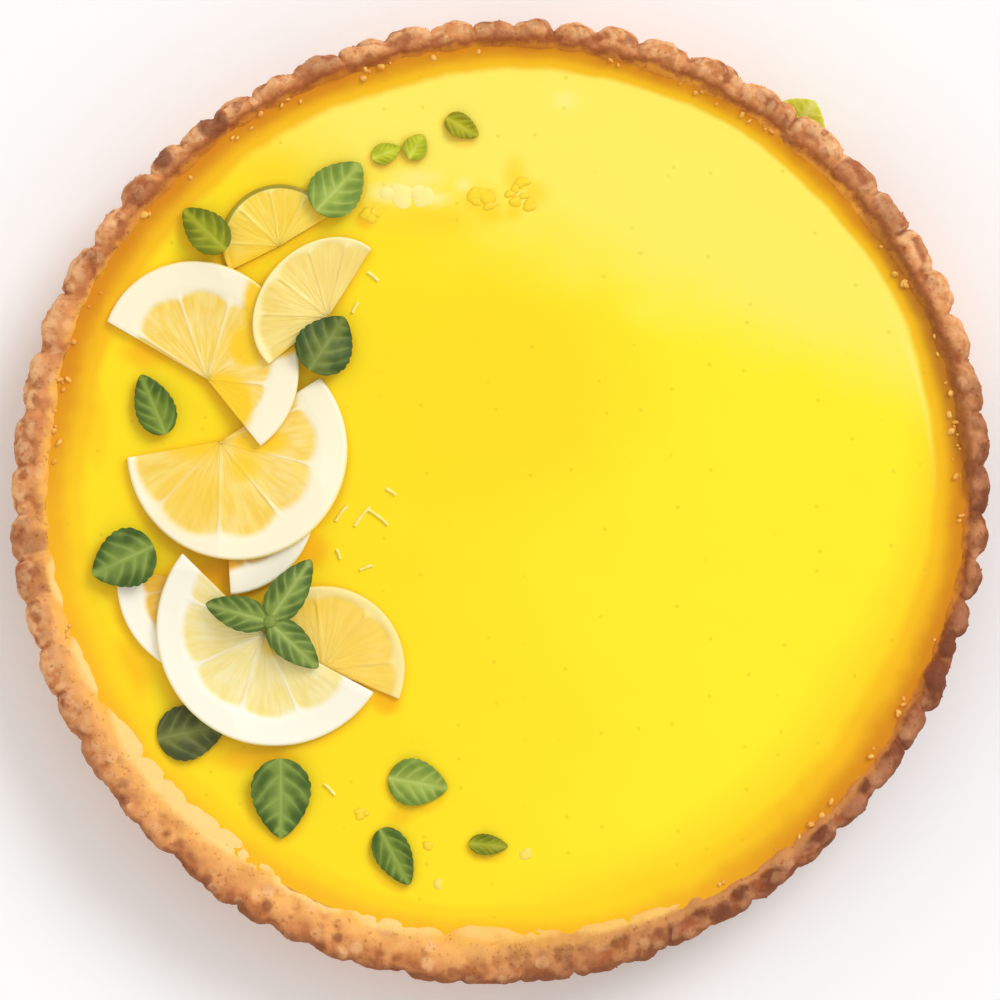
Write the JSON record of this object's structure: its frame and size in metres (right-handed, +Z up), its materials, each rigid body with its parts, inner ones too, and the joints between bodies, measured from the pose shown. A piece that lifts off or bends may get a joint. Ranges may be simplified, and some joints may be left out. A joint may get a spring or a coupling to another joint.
{
  "type": "lemon tart",
  "caption": "Round lemon tart in a fluted pastry case, its yellow filling topped with overlapping lemon slices and mint leaves.",
  "frame": {"origin": "middle of the tart's round footprint, on the flat underside of the pastry case", "axes": "+Z up out of the filling, +X to the right and +Y to the back as seen by someone who has the lemon slices on the left"},
  "size_m": [0.2459, 0.2428, 0.0377],
  "materials": {
    "pastry": "baked shortcrust, dry and crumbly, golden with darker brown creases",
    "filling": "set lemon curd, smooth with a soft shine, amber at the edge",
    "lemon": "moist lemon flesh, slightly see-through, with white pith",
    "mint": "fresh mint leaf with raised veins, satin"
  },
  "bodies": {
    "root": {"pastry_case": "pastry", "lemon_filling": "filling", "lemon_slice_1": "lemon", "lemon_slice_2": "lemon", "lemon_slice_3": "lemon", "lemon_slice_4": "lemon", "lemon_slice_5": "lemon", "lemon_slice_6": "lemon", "lemon_slice_7": "lemon", "lemon_slice_8": "lemon", "mint_leaf_1": "mint", "mint_leaf_2": "mint", "mint_leaf_3": "mint", "mint_leaf_4": "mint", "mint_leaf_5": "mint", "mint_leaf_6": "mint", "mint_leaf_7": "mint", "mint_leaf_8": "mint", "mint_leaf_9": "mint", "mint_leaf_10": "mint", "mint_leaf_11": "mint", "mint_leaf_12": "mint", "mint_leaf_13": "mint", "mint_leaf_14": "mint", "mint_sprig": "mint"}
  },
  "joints": []
}
